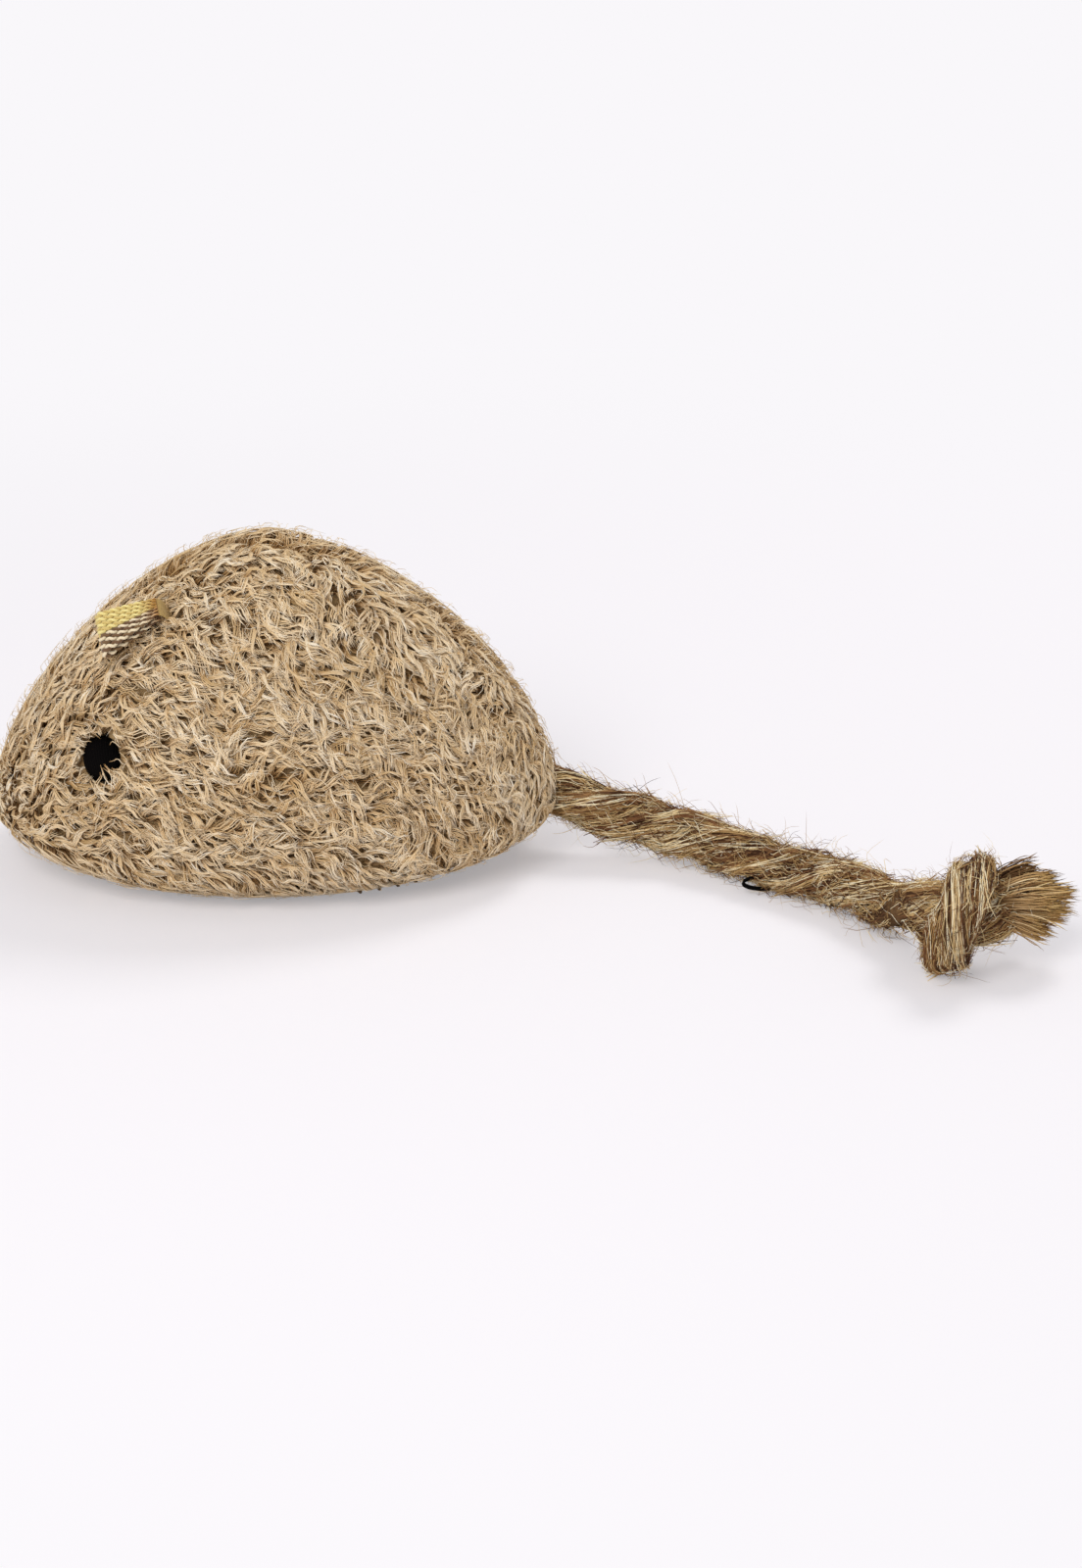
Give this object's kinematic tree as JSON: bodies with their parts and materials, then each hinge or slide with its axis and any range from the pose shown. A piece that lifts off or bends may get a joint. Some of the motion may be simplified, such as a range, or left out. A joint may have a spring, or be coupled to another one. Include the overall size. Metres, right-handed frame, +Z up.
{
  "type": "catnip mouse",
  "caption": "Stuffed plush cat toy shaped like a mouse, with folded ribbon ears, stitched eyes, a flat sewn base and a twisted rope tail that ends in an overhand knot and a frayed tuft.",
  "frame": {"origin": "on the floor, under the middle of the body's box, without the tail", "axes": "+Z up, the nose points to -X, the tail leaves towards +X, the mouse's left side faces -Y"},
  "size_m": [0.1316, 0.0664, 0.0414],
  "materials": {
    "plush": "shaggy beige pile in wavy locks",
    "base_cloth": "pale short-pile cloth",
    "stuffing_fibre": "loose polyester fibre",
    "catnip": "dried crushed leaf",
    "eye_thread": "black satin stitch",
    "ribbon": "woven gold and cream ribbon",
    "sewing_thread": "spun thread",
    "dark_thread": "spun thread",
    "rope": "twisted jute with loose fibres"
  },
  "bodies": {
    "mouse": {"base_panel": "base_cloth", "stuffing": "stuffing_fibre", "catnip_fill": "catnip", "left_side_panel": "plush", "right_side_panel": "plush", "left_eye": "eye_thread", "right_eye": "eye_thread", "left_ear_stitches": "sewing_thread", "right_ear_stitches": "sewing_thread", "back_seam_thread": "sewing_thread", "left_base_seam_thread": "sewing_thread", "right_base_seam_thread": "sewing_thread", "closing_stitches": "dark_thread", "tail_anchor": "rope"},
    "left_ear": {"left_ear": "ribbon"},
    "right_ear": {"right_ear": "ribbon"},
    "tail_root": {"tail_root": "rope"},
    "tail": {"tail_rope": "rope", "tail_knot": "rope", "tail_tuft": "rope"}
  },
  "joints": [
    {"name": "left_ear_flap", "type": "hinge", "parent": "mouse", "child": "left_ear", "pos_m": [-0.01268, -0.01211, 0.03557], "axis": [-0.2313, 0.8227, 0.5192], "range_deg": [-18, 80], "stiffness_Nm_per_rad": 0.0001},
    {"name": "right_ear_flap", "type": "hinge", "parent": "mouse", "child": "right_ear", "pos_m": [-0.0125, 0.01799, 0.02941], "axis": [0.2553, 0.5988, -0.7591], "range_deg": [0, 100], "stiffness_Nm_per_rad": 0.0001},
    {"name": "tail_swing", "type": "hinge", "parent": "mouse", "child": "tail_root", "pos_m": [0.034, 0, 0.0085], "axis": [0, 0, 1], "range_deg": [-28, 68]},
    {"name": "tail_lift", "type": "hinge", "parent": "tail_root", "child": "tail", "pos_m": [0.04369, -0.00263, 0.00555], "axis": [-0.1417, -0.9899, 0], "range_deg": [0, 65]}
  ]
}
